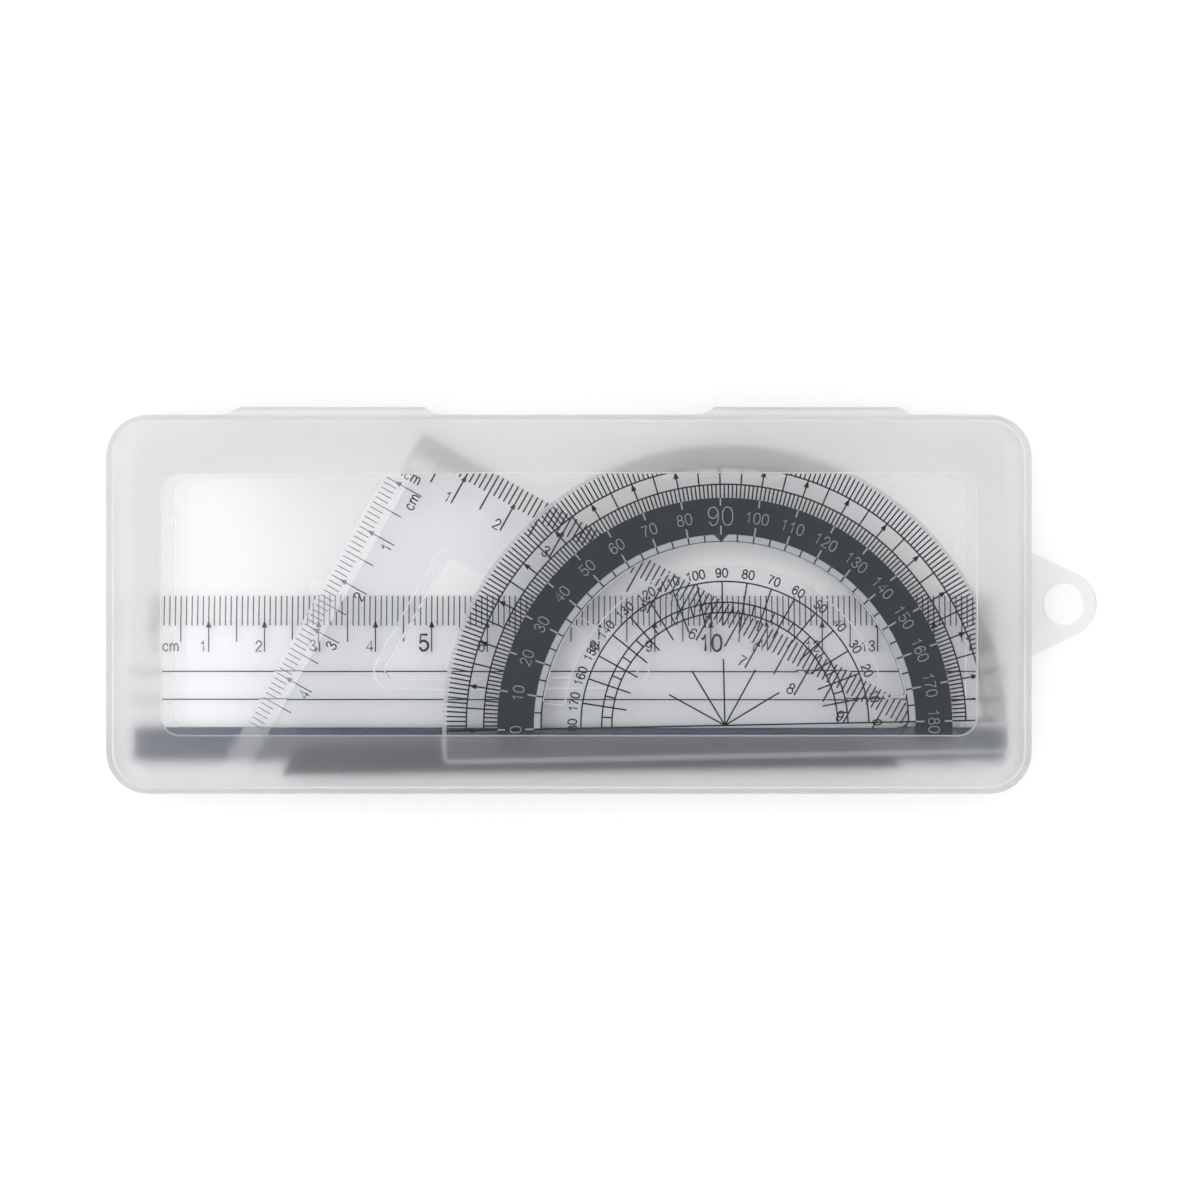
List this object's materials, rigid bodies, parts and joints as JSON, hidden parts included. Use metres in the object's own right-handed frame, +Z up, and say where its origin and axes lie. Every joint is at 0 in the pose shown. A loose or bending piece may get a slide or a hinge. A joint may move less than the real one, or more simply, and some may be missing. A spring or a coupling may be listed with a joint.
{
  "type": "pocket geometry instrument set",
  "caption": "Frosted hang-up case with a clear window and film hinges, holding a clear ruler, a 30/60 set square and a protractor.",
  "frame": {"origin": "middle of the closed set's footprint, on the surface it lies on", "axes": "+X towards the hang tab, +Y towards the hinges, +Z up out of the window"},
  "size_m": [0.1748, 0.0682, 0.011],
  "materials": {
    "frosted_polypropylene": "fine frosted texture, polished in the window",
    "clear_polystyrene": "clear, polished",
    "hot_stamp_foil": "flat blue-black foil"
  },
  "bodies": {
    "case": {"case_base": "frosted_polypropylene", "hinge_web_left": "frosted_polypropylene", "hinge_web_right": "frosted_polypropylene"},
    "lid": {"case_lid": "frosted_polypropylene"},
    "ruler": {"ruler": "clear_polystyrene", "ruler_foil_band": "hot_stamp_foil"},
    "set_square": {"set_square": "clear_polystyrene", "set_square_foil_band": "hot_stamp_foil"},
    "protractor": {"protractor": "clear_polystyrene", "protractor_foil_ring": "hot_stamp_foil"}
  },
  "joints": [
    {"name": "lid_hinge", "type": "hinge", "parent": "case", "child": "lid", "pos_m": [-0.0064, 0.03388, 0.0055], "axis": [-1, 0, 0], "range_deg": [0, 180]},
    {"name": "ruler_shift", "type": "slide", "parent": "case", "child": "ruler", "axis": [0, 1, 0], "range_m": [-0.0004, 0.0265]},
    {"name": "set_square_shift", "type": "slide", "parent": "case", "child": "set_square", "axis": [1, 0, 0], "range_m": [-0.015, 0.0015]},
    {"name": "protractor_shift", "type": "slide", "parent": "case", "child": "protractor", "axis": [1, 0, 0], "range_m": [-0.0565, 0.0015]}
  ]
}
